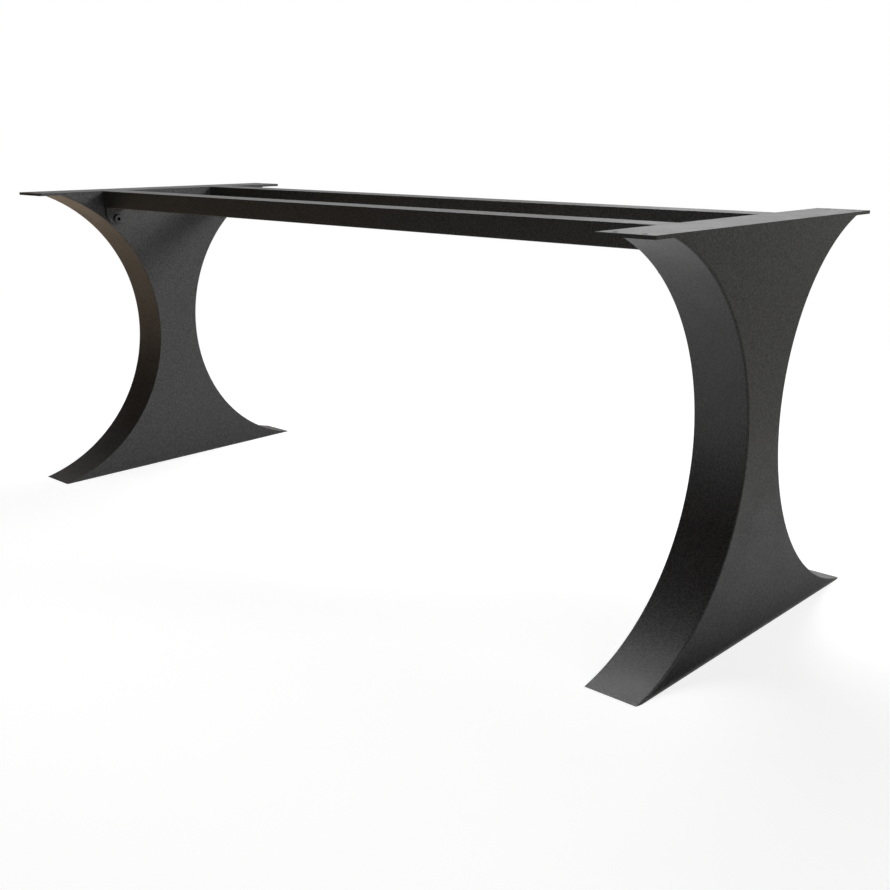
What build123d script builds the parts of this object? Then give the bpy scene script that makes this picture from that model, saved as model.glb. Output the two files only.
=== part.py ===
"""Steel table base: two hourglass box legs, joined by two rails that bolt to the legs through end plates.

Frame: the origin is on the floor, midway between the legs. +X runs along the rails, +Y to the rear, +Z up.
All sizes are in millimetres.
"""
import os
from math import hypot, sqrt

from build123d import *

# Overall sizes
height = 710
base_length = 1800
leg_depth = 102
leg_width = 700

# Hourglass outline of a leg
waist_width = 110
waist_height = 360
top_plate_overhang = 50

# Sheet and plate of a leg
sheet = 3
rim_bevel = 1.5
top_plate_thickness = 6
top_plate_corner = 2
base_plate_thickness = 3

# Holes for the screws of a table top, in the overhanging ends of the top plates
screw_hole = 10
screw_spacing_across = 50
screw_end_distance = 13

# Rails of rectangular tube
rail_width = 60
rail_height = 40
rail_wall = 2
rail_corner = 1.5

# Plates on the ends of the rails
end_plate_thickness = 5
end_plate_height = 81
tongue_width = 54

# Places of the bolts, from the lower edge of the end plate and from the side of the leg
bolt_edge_distance = 13
bolt_side_distance = 32

# Button-head bolts
bolt_size = 12
bolt_clearance = 0.5
bolt_overrun = 2
bolt_end_chamfer = 1
head_width = 21
head_height = 6.6
head_rim = 1
head_flat = 11
socket_across_flats = 8
socket_depth = 4.2

# Weld nuts inside the legs
nut_across_flats = 19
nut_height = 10
thread_clearance = 0.1

# Sizes and places that follow from those above
leg_spacing = base_length - leg_depth
side_depth = leg_depth - 2 * sheet
box_height = height - top_plate_thickness
box_top_width = leg_width - 2 * top_plate_overhang
rail_length = leg_spacing - leg_depth - 2 * end_plate_thickness
bolt_height = height - end_plate_height + bolt_edge_distance
bolt_hole_radius = bolt_size / 2 + bolt_clearance
tongue_radius = tongue_width / 2

# Outside of a leg's rear side, seen along X: from the foot past the waist to the top plate
foot_point = (leg_width / 2, 0)
waist_point = (waist_width / 2, waist_height)
top_point = (box_top_width / 2, box_height)
side_arc = ThreePointArc(foot_point, waist_point, top_point)
side_centre = side_arc.arc_center
side_radius = side_arc.radius


def half_width(z, inset=0):
    """Half the width of a leg at height z, to a surface set into the box from the outside of its sides."""
    return side_centre.X - sqrt((side_radius + inset) ** 2 - (z - side_centre.Y) ** 2)


def side_points(side, top, inset=0):
    """Lower end, middle and upper end of a side's curve, from the floor up, as places along Y and Z."""
    return [(side * half_width(z, inset), z) for z in (0, top / 2, top)]


rail_places = [side * (half_width(bolt_height) - bolt_side_distance) for side in (-1, 1)]


def make_leg_face(middle_x, outside, drilled):
    """Flat hourglass sheet. Its outside has a bevelled rim, where the weld to the sides is ground back."""
    with BuildPart() as face:
        with BuildSketch(Plane.YZ.offset(middle_x)):
            with BuildLine():
                front = ThreePointArc(*side_points(-1, box_height))
                rear = ThreePointArc(*side_points(1, box_height))
                Line(front @ 0, rear @ 0)
                Line(front @ 1, rear @ 1)
            make_face()
        extrude(amount=sheet / 2, both=True)
        rims = face.edges().filter_by(GeomType.CIRCLE).group_by(Axis.X)
        chamfer(rims[-1] if outside > 0 else rims[0], length=rim_bevel)
        if drilled:
            with BuildSketch(Plane.YZ.offset(middle_x)):
                with Locations(*[(y, bolt_height) for y in rail_places]):
                    Circle(bolt_hole_radius)
            extrude(amount=sheet, both=True, mode=Mode.SUBTRACT)
    return face


def make_leg_side(middle_x, side):
    """Rolled strip between the two faces of a leg, cut level at the floor and under the top plate."""
    with BuildPart() as strip:
        with BuildSketch(Plane.YZ.offset(middle_x)):
            with BuildLine():
                outer = ThreePointArc(*side_points(side, box_height))
                inner = ThreePointArc(*side_points(side, box_height, sheet))
                Line(outer @ 0, inner @ 0)
                Line(outer @ 1, inner @ 1)
            make_face()
        extrude(amount=side_depth / 2, both=True)
    return strip


def make_top_plate(middle_x):
    """Flat plate that closes the leg and overhangs both sides, where screws go up into a table top."""
    with BuildPart() as plate:
        with BuildSketch(Plane(origin=(middle_x, 0, box_height))):
            RectangleRounded(leg_depth, leg_width, top_plate_corner)
            with GridLocations(screw_spacing_across, leg_width - 2 * screw_end_distance, 2, 2):
                Circle(screw_hole / 2, mode=Mode.SUBTRACT)
        extrude(amount=top_plate_thickness)
    return plate


def make_base_plate(middle_x):
    """Plate level with the floor that closes the foot between the faces and the sides."""
    with BuildPart() as plate:
        with BuildSketch(Plane.YZ.offset(middle_x)):
            with BuildLine():
                front = ThreePointArc(*side_points(-1, base_plate_thickness, sheet))
                rear = ThreePointArc(*side_points(1, base_plate_thickness, sheet))
                Line(front @ 0, rear @ 0)
                Line(front @ 1, rear @ 1)
            make_face()
        extrude(amount=side_depth / 2, both=True)
    return plate


def make_rail(y):
    """Rectangular tube between the end plates, with its top level with the top plates."""
    with BuildPart() as rail:
        with BuildSketch(Plane.YZ):
            with Locations((y, height - rail_height / 2)):
                RectangleRounded(rail_width, rail_height, rail_corner)
                Rectangle(rail_width - 2 * rail_wall, rail_height - 2 * rail_wall, mode=Mode.SUBTRACT)
        extrude(amount=rail_length / 2, both=True)
    return rail


def make_end_plate(middle_x, y):
    """Plate across the end of a rail, with a round-ended tongue below it for the bolt."""
    with BuildPart() as plate:
        with BuildSketch(Plane.YZ.offset(middle_x)):
            with Locations((y, height)):
                Rectangle(rail_width, rail_height, align=(Align.CENTER, Align.MAX))
                Rectangle(tongue_width, end_plate_height - tongue_radius, align=(Align.CENTER, Align.MAX))
            with Locations((y, height - end_plate_height + tongue_radius)):
                Circle(tongue_radius)
            with Locations((y, bolt_height)):
                Circle(bolt_hole_radius, mode=Mode.SUBTRACT)
        extrude(amount=end_plate_thickness / 2, both=True)
    return plate


def save(piece, name):
    """Name a finished piece and write it to a file of its own."""
    piece.part.label = name
    export_step(piece.part, f"parts/{name}.step")


os.makedirs("parts", exist_ok=True)

# The two legs, each a closed box of six welded pieces
for leg, outward in (("left", -1), ("right", 1)):
    leg_x = outward * leg_spacing / 2
    face_offset = outward * (leg_depth - sheet) / 2
    save(make_leg_face(leg_x + face_offset, outward, False), f"{leg}_leg_outer_face")
    save(make_leg_face(leg_x - face_offset, -outward, True), f"{leg}_leg_inner_face")
    save(make_leg_side(leg_x, -1), f"{leg}_leg_front_side")
    save(make_leg_side(leg_x, 1), f"{leg}_leg_rear_side")
    save(make_top_plate(leg_x), f"{leg}_leg_top_plate")
    save(make_base_plate(leg_x), f"{leg}_leg_base_plate")

# The two rails, each with a plate welded on both ends
for rail_name, rail_y in zip(("front", "rear"), rail_places):
    save(make_rail(rail_y), f"{rail_name}_rail")
    for leg, outward in (("left", -1), ("right", 1)):
        plate_x = outward * (rail_length + end_plate_thickness) / 2
        save(make_end_plate(plate_x, rail_y), f"{rail_name}_rail_{leg}_end_plate")

# One bolt, with its axis on Z and the underside of its head at the origin
bolt_length = end_plate_thickness + sheet + nut_height + bolt_overrun
shank_radius = bolt_size / 2
rim_radius = head_width / 2
flat_radius = head_flat / 2
dome_height = head_height - head_rim
dome_centre = (head_height**2 + flat_radius**2 - head_rim**2 - rim_radius**2) / (2 * dome_height)
dome_radius = hypot(rim_radius, head_rim - dome_centre)
with BuildPart() as bolt:
    with BuildSketch(Plane.XZ):
        with BuildLine():
            lower = Polyline(
                (0, head_height),
                (0, -bolt_length),
                (shank_radius - bolt_end_chamfer, -bolt_length),
                (shank_radius, bolt_end_chamfer - bolt_length),
                (shank_radius, 0),
                (rim_radius, 0),
                (rim_radius, head_rim),
            )
            dome = RadiusArc(lower @ 1, (flat_radius, head_height), -dome_radius)
            Line(dome @ 1, lower @ 0)
        make_face()
    revolve(axis=Axis.Z)
    with BuildSketch(Plane.XY.offset(head_height)):
        RegularPolygon(socket_across_flats / 2, 6, major_radius=False)
    extrude(amount=-socket_depth, mode=Mode.SUBTRACT)

# One weld nut on the same axis, behind the end plate and the inner face of the leg
nut_seat = -end_plate_thickness - sheet
with BuildPart() as nut:
    with BuildSketch(Plane.XY.offset(nut_seat)):
        RegularPolygon(nut_across_flats / 2, 6, major_radius=False)
        Circle(shank_radius + thread_clearance, mode=Mode.SUBTRACT)
    extrude(amount=-nut_height)

# Both repeat at each end of each rail, with the bolt heads facing the middle of the base
bolt_seats = [
    Plane(origin=(-facing * rail_length / 2, y, bolt_height), x_dir=(0, 0, 1), z_dir=(facing, 0, 0))
    for facing in (1, -1)
    for y in rail_places
]
with BuildPart() as rail_bolts:
    with Locations(*bolt_seats):
        add(bolt.part)
save(rail_bolts, "rail_bolts")

with BuildPart() as weld_nuts:
    with Locations(*bolt_seats):
        add(nut.part)
save(weld_nuts, "weld_nuts")
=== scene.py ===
from math import asin, cos, pi, radians, sin, sqrt

import bmesh
import bpy
from mathutils import Matrix, Vector


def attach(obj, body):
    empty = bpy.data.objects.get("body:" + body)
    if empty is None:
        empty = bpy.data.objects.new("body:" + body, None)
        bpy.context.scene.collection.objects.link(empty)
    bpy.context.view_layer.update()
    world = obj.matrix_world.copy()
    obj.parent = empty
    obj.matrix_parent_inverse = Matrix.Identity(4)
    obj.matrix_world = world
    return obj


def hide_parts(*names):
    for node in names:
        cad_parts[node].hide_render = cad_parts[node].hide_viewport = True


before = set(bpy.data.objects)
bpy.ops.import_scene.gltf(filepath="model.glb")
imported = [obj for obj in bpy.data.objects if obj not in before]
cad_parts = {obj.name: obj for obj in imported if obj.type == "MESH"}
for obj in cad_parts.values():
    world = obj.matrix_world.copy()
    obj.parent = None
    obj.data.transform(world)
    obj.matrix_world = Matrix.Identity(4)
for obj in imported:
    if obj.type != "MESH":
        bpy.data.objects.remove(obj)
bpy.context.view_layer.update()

scene = bpy.context.scene
scene.view_settings.view_transform = "Standard"

# Camera, from the edges of the base in the photo
image_side = 890
focal_pixels = 1134.68
centre_pixel = (473.58, 425.93)
camera_place = (1.76314, -1.67667, 0.84544)
camera_yaw = radians(132.063)
camera_pitch = radians(-14.485)
camera_roll = radians(0.061)

lens = bpy.data.cameras.new("photo_camera")
lens.sensor_fit = "HORIZONTAL"
lens.sensor_width = 36
lens.lens = focal_pixels / image_side * lens.sensor_width
image_middle = (image_side - 1) / 2
lens.shift_x = (image_middle - centre_pixel[0]) / image_side
lens.shift_y = (centre_pixel[1] - image_middle) / image_side
lens.clip_end = 200
camera = bpy.data.objects.new("photo_camera", lens)
camera.matrix_world = (
    Matrix.Translation(camera_place)
    @ Matrix.Rotation(camera_yaw - pi / 2, 4, "Z")
    @ Matrix.Rotation(camera_pitch + pi / 2, 4, "X")
    @ Matrix.Rotation(-camera_roll, 4, "Z")
)
scene.collection.objects.link(camera)
scene.camera = camera

# Powder coat: the sizes of its mottle and of the clouds in its gloss, in grains of its skin
mottle_size = 2
cloud_size = 40
mottle_range = (0.36, 0.64)


def new_material(name):
    """A material with its node tree, its principled shader and its texture place in metres."""
    material = bpy.data.materials.new(name)
    material.use_nodes = True
    tree = material.node_tree
    shader = tree.nodes["Principled BSDF"]
    place = tree.nodes.new("ShaderNodeTexCoord")
    return material, tree, shader, place.outputs["Object"]


def noise(tree, place, grain, detail):
    """Noise whose spots are about one grain across, in metres."""
    texture = tree.nodes.new("ShaderNodeTexNoise")
    texture.inputs["Scale"].default_value = 1 / grain
    texture.inputs["Detail"].default_value = detail
    tree.links.new(place, texture.inputs["Vector"])
    return texture.outputs["Fac"]


def ramp(tree, value, low, high, start=0.3, end=0.7):
    """Spreads a value over the range between two numbers or two colours."""
    spread = tree.nodes.new("ShaderNodeMapRange")
    spread.inputs["From Min"].default_value = start
    spread.inputs["From Max"].default_value = end
    tree.links.new(value, spread.inputs["Value"])
    if isinstance(low, tuple):
        mix = tree.nodes.new("ShaderNodeMix")
        mix.data_type = "RGBA"
        mix.inputs["A"].default_value = (*low, 1)
        mix.inputs["B"].default_value = (*high, 1)
        tree.links.new(spread.outputs["Result"], mix.inputs["Factor"])
        return mix.outputs["Result"]
    spread.inputs["To Min"].default_value = low
    spread.inputs["To Max"].default_value = high
    return spread.outputs["Result"]


def average(tree, first, second):
    """Mean of two values."""
    mix = tree.nodes.new("ShaderNodeMix")
    mix.inputs["Factor"].default_value = 0.5
    tree.links.new(first, mix.inputs["A"])
    tree.links.new(second, mix.inputs["B"])
    return mix.outputs["Result"]


def bump(tree, shader, height, depth):
    """Raises the surface by a height from 0 to 1, over a depth in metres."""
    relief = tree.nodes.new("ShaderNodeBump")
    relief.inputs["Distance"].default_value = depth
    tree.links.new(height, relief.inputs["Height"])
    tree.links.new(relief.outputs["Normal"], shader.inputs["Normal"])


def powder_coat(name, dark, light, smooth, rough, grain, depth):
    """Matt powder coat: a sandy skin with a mottled colour, and faint clouds in its gloss."""
    material, tree, shader, place = new_material(name)
    skin = noise(tree, place, grain, detail=2)
    mottle = average(tree, skin, noise(tree, place, grain * mottle_size, detail=1))
    clouds = noise(tree, place, grain * cloud_size, detail=2)
    tree.links.new(ramp(tree, mottle, dark, light, *mottle_range), shader.inputs["Base Color"])
    tree.links.new(ramp(tree, average(tree, skin, clouds), smooth, rough), shader.inputs["Roughness"])
    bump(tree, shader, skin, depth)
    return material


charcoal = powder_coat(
    "charcoal_coat",
    dark=(0.014, 0.014, 0.014),
    light=(0.092, 0.092, 0.091),
    smooth=0.40,
    rough=0.54,
    grain=0.0017,
    depth=0.00022,
)
black = powder_coat(
    "bolt_black",
    dark=(0.032, 0.032, 0.032),
    light=(0.058, 0.057, 0.057),
    smooth=0.36,
    rough=0.48,
    grain=0.0010,
    depth=0.00006,
)
steel = powder_coat(
    "bare_steel",
    dark=(0.42, 0.42, 0.43),
    light=(0.50, 0.50, 0.51),
    smooth=0.32,
    rough=0.44,
    grain=0.0012,
    depth=0.00003,
)
steel.node_tree.nodes["Principled BSDF"].inputs["Metallic"].default_value = 1

# Walls and floors of the hexagon sockets in the bolts, dull and near black: painted shade that darkens the
# recess of each socket beyond the bolt's own black
socket_painted_shade = powder_coat(
    "bolt_socket_painted_shade",
    dark=(0.004, 0.004, 0.004),
    light=(0.012, 0.012, 0.012),
    smooth=0.7,
    rough=0.9,
    grain=0.0008,
    depth=0.00003,
)
socket_painted_shade.node_tree.nodes["Principled BSDF"].inputs["Specular IOR Level"].default_value = 0.1

finishes = {"rail_bolts": black, "weld_nuts": steel}
for name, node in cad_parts.items():
    node.material_slots[0].material = finishes.get(name, charcoal)

# Rounded edges of the top plates and of the end plates
top_plate_edge = 0.0015
end_plate_edge = 0.0008


def round_edges(node, radius):
    """Rounds the sharp edges of a plate."""
    joined = node.modifiers.new("joined", "WELD")
    joined.merge_threshold = 0.000001
    rounded = node.modifiers.new("rounded", "BEVEL")
    rounded.width = radius
    rounded.segments = 3
    rounded.limit_method = "ANGLE"
    rounded.angle_limit = radians(40)
    rounded.harden_normals = True


for name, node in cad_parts.items():
    if name.endswith("top_plate"):
        round_edges(node, top_plate_edge)
    if name.endswith("end_plate"):
        round_edges(node, end_plate_edge)

# Steps around a bolt or a bolt hole, and the angle from which an edge is shaded sharp
round_steps = 48
sharp_angle = radians(35)


def add_piece(name, shape):
    """Turns a finished shape into a piece of the scene."""
    mesh = bpy.data.meshes.new(name)
    shape.to_mesh(mesh)
    shape.free()
    piece = bpy.data.objects.new(name, mesh)
    scene.collection.objects.link(piece)
    return piece


def shade_smooth(mesh):
    """Shades a mesh smooth, apart from its sharp edges."""
    mesh.shade_smooth()
    mesh.set_sharp_from_angle(angle=sharp_angle)


def bridge(shape, first, second):
    """Faces between two rings of corners."""
    for i in range(len(first)):
        shape.faces.new((first[i - 1], first[i], second[i], second[i - 1]))


# Shells of the legs: the faces and sides as one skin, with the welded edges ground round and coated over
box_height = 0.704
leg_middle = 0.849
leg_half_depth = 0.051
sheet = 0.003
outer_edge_radius = 0.004
inner_edge_radius = 0.002
inside_radius = 0.0005
corner_steps = 6
height_steps = 120

# Arc of the sides, seen along X: its centre from the middle of the leg and from the floor, and its radius
side_centre_y = 0.420692
side_centre_z = 0.358796
side_radius = 0.365694

# Holes for the bolts of the rails, in the inner faces
bolt_height = 0.642
rail_place = 0.15733
bolt_hole_radius = 0.0065
drill_length = 0.02


def half_width(z, inset):
    """Half the width of a leg at a height, to a surface set into it from the outside of its sides."""
    return side_centre_y - sqrt((side_radius + inset) ** 2 - (z - side_centre_z) ** 2)


def shell_heights():
    """Heights from the floor to the top plate, evenly spaced along the curve of a side."""
    low = asin(-side_centre_z / side_radius)
    high = asin((box_height - side_centre_z) / side_radius)
    angles = [low + (high - low) * step / height_steps for step in range(1, height_steps)]
    return [0.0] + [side_centre_z + side_radius * sin(angle) for angle in angles] + [box_height]


def shell_ring(shape, outward, z, wall):
    """Corners around a leg at one height, on the outside or, with a wall, on the inside of its sheet."""
    turns = [radians(90) * step / corner_steps for step in range(corner_steps + 1)]
    back = turns[::-1]
    ring = []
    for side_x, side_y, order in ((1, -1, turns), (1, 1, back), (-1, 1, turns), (-1, -1, back)):
        edge_radius = outer_edge_radius if side_x == outward else inner_edge_radius
        radius = max(edge_radius - wall, inside_radius)
        for turn in order:
            x = outward * leg_middle + side_x * (leg_half_depth - wall - radius * (1 - sin(turn)))
            y = side_y * half_width(z, wall + radius * (1 - cos(turn)))
            ring.append(shape.verts.new((x, y, z)))
    return ring


def drill_bolt_holes(piece, outward):
    """Cuts the bolt holes into the inner face of a leg's shell."""
    shape = bmesh.new()
    for y in (-rail_place, rail_place):
        place = (outward * (leg_middle - leg_half_depth), y, bolt_height)
        bmesh.ops.create_cone(
            shape,
            cap_ends=True,
            segments=round_steps,
            radius1=bolt_hole_radius,
            radius2=bolt_hole_radius,
            depth=drill_length,
            matrix=Matrix.Translation(place) @ Matrix.Rotation(radians(90), 4, "Y"),
        )
    drill = add_piece("drill", shape)
    cut = piece.modifiers.new("bolt_holes", "BOOLEAN")
    cut.solver = "EXACT"
    cut.object = drill
    undrilled, drill_mesh = piece.data, drill.data
    finished = piece.evaluated_get(bpy.context.evaluated_depsgraph_get())
    piece.data = bpy.data.meshes.new_from_object(finished)
    piece.modifiers.clear()
    bpy.data.objects.remove(drill)
    bpy.data.meshes.remove(drill_mesh)
    bpy.data.meshes.remove(undrilled)


def leg_shell(name, outward):
    """Closed hourglass skin of one leg, with the bolt holes in its inner face."""
    skin = bmesh.new()
    outside = [shell_ring(skin, outward, z, 0.0) for z in shell_heights()]
    inside = [shell_ring(skin, outward, z, sheet) for z in shell_heights()]
    for lower, upper in zip(outside, outside[1:]):
        bridge(skin, lower, upper)
    for lower, upper in zip(inside, inside[1:]):
        bridge(skin, upper, lower)
    bridge(skin, inside[0], outside[0])
    bridge(skin, outside[-1], inside[-1])
    piece = add_piece(name, skin)
    drill_bolt_holes(piece, outward)
    shade_smooth(piece.data)
    smooth = piece.modifiers.new("smooth", "WEIGHTED_NORMAL")
    smooth.keep_sharp = True
    piece.data.materials.clear()
    piece.data.materials.append(charcoal)
    return piece


for leg, outward in (("left", -1), ("right", 1)):
    shell = leg_shell(f"{leg}_leg_shell", outward)
    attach(shell, "root")
    shell_parts = ("outer_face", "inner_face", "front_side", "rear_side")
    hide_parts(*[f"{leg}_leg_{part}" for part in shell_parts])

# Bolts of the rails: flanged button heads with a hexagon socket, on the plates at both ends of each rail
plate_face = 0.793
shank_radius = 0.006
shank_length = 0.02
shank_chamfer = 0.001
flange_radius = 0.012
flange_rounding = 0.0004
flange_height = 0.0009
dome_radius = 0.0113
dome_foot = 0.0013
dome_steps = 8
flat_radius = 0.0078
head_height = 0.0066
socket_half_width = 0.004
socket_chamfer = 0.0003
socket_floor = 0.0024
socket_point = 0.0014
flat_turn = radians(60)


def bolt_profile():
    """Rings of a bolt, from the end of its shank to the floor of its socket.

    Each is a radius, a height above the underside of the head, and whether the ring is a hexagon.
    """
    shank = [
        (shank_radius - shank_chamfer, -shank_length, False),
        (shank_radius, shank_chamfer - shank_length, False),
        (shank_radius, 0.0, False),
    ]
    flange = [
        (flange_radius - flange_rounding, 0.0, False),
        (flange_radius, flange_rounding, False),
        (flange_radius, flange_height, False),
    ]
    dome = []
    for step in range(dome_steps + 1):
        turn = radians(90) * step / dome_steps
        radius = flat_radius + (dome_radius - flat_radius) * cos(turn)
        dome.append((radius, dome_foot + (head_height - dome_foot) * sin(turn), False))
    socket = [
        (socket_half_width + socket_chamfer, head_height, True),
        (socket_half_width, head_height - socket_chamfer, True),
        (socket_half_width, socket_floor, True),
    ]
    return shank + flange + dome + socket


def bolt_ring(shape, place, facing, radius, height, hexagon):
    """Corners of one ring of a bolt. Those of a hexagon lie on its flats."""
    ring = []
    for step in range(round_steps):
        turn = radians(360) * step / round_steps
        reach = radius / cos(turn % flat_turn - flat_turn / 2) if hexagon else radius
        offset = Vector((facing * height, reach * cos(turn), reach * sin(turn)))
        ring.append(shape.verts.new(place + offset))
    return ring


def add_bolt(shape, place, facing):
    """One bolt, with the underside of its head at a place and its head facing along X."""
    rings = [bolt_ring(shape, place, facing, *ring) for ring in bolt_profile()]
    for lower, upper in zip(rings, rings[1:]):
        bridge(shape, lower, upper)
    shape.faces.ensure_lookup_table()
    walls = shape.faces[-round_steps:]
    point = shape.verts.new(place + Vector((facing * socket_point, 0, 0)))
    bottom = [shape.faces.new((rings[-1][i - 1], rings[-1][i], point)) for i in range(round_steps)]
    # The socket's walls and floor take the second material, painted shade in the recess
    for face in walls + bottom:
        face.material_index = 1
    shape.faces.new(rings[0][::-1])


bolts = bmesh.new()
for facing in (1, -1):
    for y in (-rail_place, rail_place):
        add_bolt(bolts, Vector((-facing * plate_face, y, bolt_height)), facing)
bmesh.ops.recalc_face_normals(bolts, faces=bolts.faces)
flanged_bolts = add_piece("flanged_bolts", bolts)
shade_smooth(flanged_bolts.data)
flanged_bolts.data.materials.append(black)
# Second material: the painted shade of the sockets
flanged_bolts.data.materials.append(socket_painted_shade)
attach(flanged_bolts, "root")
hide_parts("rail_bolts")

# Stage: a white floor and world, dark panels in front and at the left, soft lamps behind and above
world_level = 0.33
floor_glow = 0.79
floor_shadow = 0.5
floor_bounce = 0.32
shadow_fade = (1.2, 3.2)


def background_ray(tree):
    """1 for rays that show the background: from the camera, or by way of gloss or glass."""
    path = tree.nodes.new("ShaderNodeLightPath")
    first = tree.nodes.new("ShaderNodeMath")
    first.operation = "MAXIMUM"
    tree.links.new(path.outputs["Is Camera Ray"], first.inputs[0])
    tree.links.new(path.outputs["Is Glossy Ray"], first.inputs[1])
    both = tree.nodes.new("ShaderNodeMath")
    both.operation = "MAXIMUM"
    tree.links.new(first.outputs["Value"], both.inputs[0])
    tree.links.new(path.outputs["Is Transmission Ray"], both.inputs[1])
    return both.outputs["Value"]


def mix_shaders(tree, factor, first, second, output):
    """Joins two shaders to an output, the second where the factor is 1."""
    mix = tree.nodes.new("ShaderNodeMixShader")
    tree.links.new(factor, mix.inputs[0])
    tree.links.new(first, mix.inputs[1])
    tree.links.new(second, mix.inputs[2])
    tree.links.new(mix.outputs[0], output)


world = bpy.data.worlds.new("studio")
scene.world = world
world.use_nodes = True
sky = world.node_tree
sky.nodes["Background"].inputs["Color"].default_value = (1, 1, 1, 1)
sky.nodes["Background"].inputs["Strength"].default_value = world_level
white = sky.nodes.new("ShaderNodeBackground")
white.inputs["Color"].default_value = (1, 1, 1, 1)
white.inputs["Strength"].default_value = 1
mix_shaders(
    sky,
    background_ray(sky),
    sky.nodes["Background"].outputs[0],
    white.outputs[0],
    sky.nodes["World Output"].inputs["Surface"],
)


def stage_material(name):
    """An empty stage material, with its node tree and its output."""
    material = bpy.data.materials.new(name)
    material.use_nodes = True
    tree = material.node_tree
    tree.nodes.remove(tree.nodes["Principled BSDF"])
    return material, tree, tree.nodes["Material Output"].inputs["Surface"]


def panel(name, corner, across, along, material):
    """Flat stage panel, from one corner and its two edges."""
    start, first, second = Vector(corner), Vector(across), Vector(along)
    mesh = bpy.data.meshes.new(name)
    mesh.from_pydata([start, start + first, start + first + second, start + second], [], [(0, 1, 2, 3)])
    mesh.materials.append(material)
    piece = bpy.data.objects.new(name, mesh)
    scene.collection.objects.link(piece)
    return piece


def diffuse(tree, colour):
    """Dull shader of one colour."""
    shader = tree.nodes.new("ShaderNodeBsdfDiffuse")
    shader.inputs["Color"].default_value = (*colour, 1)
    return shader.outputs[0]


def floor_material():
    """White to the camera, with the soft shadow of the base near it, and grey to the light that bounces."""
    material, tree, output = stage_material("floor")
    glow = tree.nodes.new("ShaderNodeEmission")
    glow.inputs["Strength"].default_value = floor_glow
    near = tree.nodes.new("ShaderNodeAddShader")
    tree.links.new(glow.outputs[0], near.inputs[0])
    tree.links.new(diffuse(tree, (floor_shadow,) * 3), near.inputs[1])
    far = tree.nodes.new("ShaderNodeEmission")
    far.inputs["Strength"].default_value = 1
    place = tree.nodes.new("ShaderNodeNewGeometry")
    distance = tree.nodes.new("ShaderNodeVectorMath")
    distance.operation = "LENGTH"
    tree.links.new(place.outputs["Position"], distance.inputs[0])
    pale = tree.nodes.new("ShaderNodeMixShader")
    fade = ramp(tree, distance.outputs["Value"], 0.0, 1.0, *shadow_fade)
    mix_shaders(tree, fade, near.outputs[0], far.outputs[0], pale.inputs[2])
    tree.links.new(background_ray(tree), pale.inputs[0])
    tree.links.new(diffuse(tree, (floor_bounce,) * 3), pale.inputs[1])
    tree.links.new(pale.outputs[0], output)
    return material


def cloth_material(name, colour):
    """Plain dull cloth for a panel."""
    material, tree, output = stage_material(name)
    tree.links.new(diffuse(tree, colour), output)
    return material


def card_material(name, colour, fade):
    """Card that glows evenly, though it is no lamp: painted light of a lit floor or wall. A fade runs from
    black to the colour, along a direction from a start to an end, as painted falloff or shade of that
    light.
    """
    material, tree, output = stage_material(name)
    glow = tree.nodes.new("ShaderNodeEmission")
    glow.inputs["Color"].default_value = (*colour, 1)
    if fade:
        direction, start, end = fade
        place = tree.nodes.new("ShaderNodeNewGeometry")
        along = tree.nodes.new("ShaderNodeVectorMath")
        along.operation = "DOT_PRODUCT"
        along.inputs[1].default_value = direction
        tree.links.new(place.outputs["Position"], along.inputs[0])
        level = ramp(tree, along.outputs["Value"], 0.0, 1.0, start, end)
        tree.links.new(level, glow.inputs["Strength"])
    tree.links.new(glow.outputs[0], output)
    return material


def card(name, corner, across, along, colour, fade=None):
    """Glowing card that shows only in the gloss of the coat: a painted reflection of a lit floor or wall.
    """
    piece = panel(name, corner, across, along, card_material(name, colour, fade))
    piece.visible_camera = False
    piece.visible_diffuse = False
    piece.visible_shadow = False
    piece.visible_transmission = False


panel("floor", (-40, -40, 0), (80, 0, 0), (0, 80, 0), floor_material())
dark_cloth = cloth_material("dark_cloth", (0.13, 0.1, 0.08))
left_cloth = cloth_material("left_cloth", (0.55, 0.42, 0.33))
front_panel = panel("front_panel", (-8, -3.4, 0), (14, 0, 0), (0, 0, 4), dark_cloth)
top_panel = panel("top_panel", (-8, -3.4, 4), (14, 0, 0), (0, 3.5, 0), dark_cloth)
left_panel = panel("left_panel", (-4.6, -3.4, 0), (0, 5, 0), (0, 0, 3.6), left_cloth)
for flag in (front_panel, top_panel, left_panel):
    flag.visible_camera = False

# Glowing cards, no lamps: painted reflections of a lit floor and walls, seen only in the gloss of the coat
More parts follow.
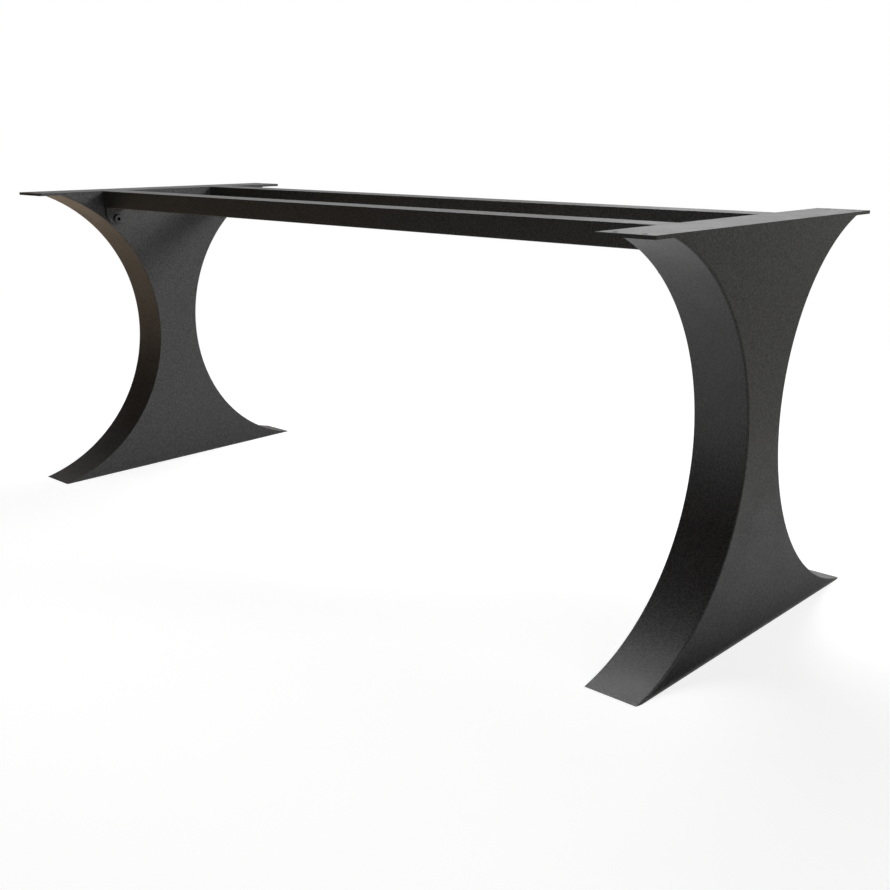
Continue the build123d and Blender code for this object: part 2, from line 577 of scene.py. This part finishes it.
card(
    "left_near_card",
    corner=(-2.5, -3.4, 0.002),
    across=(1.58, 0, 0),
    along=(0, 5, 0),
    colour=(1.25, 0.95, 0.67),
    fade=((0, 1, 0), -1.7, 1.1),
)
card(
    "left_far_card",
    corner=(-4.6, -3.4, 0.002),
    across=(2.1, 0, 0),
    along=(0, 5, 0),
    colour=(1.2, 0.92, 0.65),
    fade=((0, 1, 0), -8.0, 1.2),
)
card(
    "left_back_card",
    corner=(-4.6, 1.6, 0),
    across=(1.76, 3.3, 0),
    along=(0, 0, 4),
    colour=(0.62, 0.62, 0.62),
    fade=((-1, 0, 0), 3.1, 4.3),
)
# Its fade is a painted shadow of the right leg on the floor, dark at the leg and lighter away from it
card(
    "right_near_card",
    corner=(0.902, -0.8, 0.002),
    across=(0.5, 0, 0),
    along=(0, 3.6, 0),
    colour=(0.78, 0.78, 0.78),
    fade=((1, 0.22, 0), 0.86, 1.12),
)
card(
    "right_far_card",
    corner=(1.402, -0.8, 0.002),
    across=(2.6, 0, 0),
    along=(0, 5, 0),
    colour=(0.29, 0.28, 0.21),
)
card(
    "right_back_card",
    corner=(4.1, 2.9, 0),
    across=(-2.3, 1.4, 0),
    along=(0, 0, 3),
    colour=(0.15, 0.15, 0.15),
)
card(
    "right_card",
    corner=(5.6, -3.4, 0),
    across=(0, 8, 0),
    along=(0, 0, 4),
    colour=(0.15, 0.15, 0.15),
)
# Its fade darkens it towards the left leg, as painted shade of the floor next to that leg
card(
    "inner_floor_card",
    corner=(-0.796, -0.8, 0.002),
    across=(1.592, 0, 0),
    along=(0, 3.3, 0),
    colour=(1.1, 1.1, 1.1),
    fade=((1, 0, 0), -1.2, -0.35),
)
card(
    "inner_near_card",
    corner=(0.05, -0.8, 0.003),
    across=(0.746, 0, 0),
    along=(0, 1.1, 0),
    colour=(0.88, 0.88, 0.88),
)


def softbox(name, place, aim, width, depth, brightness):
    """Rectangular lamp with a given brightness, aimed at a point."""
    lamp = bpy.data.lights.new(name, "AREA")
    lamp.shape = "RECTANGLE"
    lamp.size = width
    lamp.size_y = depth
    lamp.energy = brightness * pi * width * depth
    piece = bpy.data.objects.new(name, lamp)
    piece.location = place
    piece.rotation_euler = (Vector(aim) - Vector(place)).to_track_quat("-Z", "Y").to_euler()
    piece.visible_camera = False
    scene.collection.objects.link(piece)
    return piece


softbox("key", (-0.95, 1.2, 3.0), (0.4, -0.1, 0.2), width=1.6, depth=1.6, brightness=6.6)
window = softbox("window", (4.7, 2.7, 2.25), (-2.2, -0.5, 0.4), width=1.1, depth=1.1, brightness=1.5)
window.data.spread = radians(40)
softbox("back_fill", (-1.2, 4.0, 1.3), (0.6, 0, 0.5), width=2.0, depth=1.4, brightness=0.7)
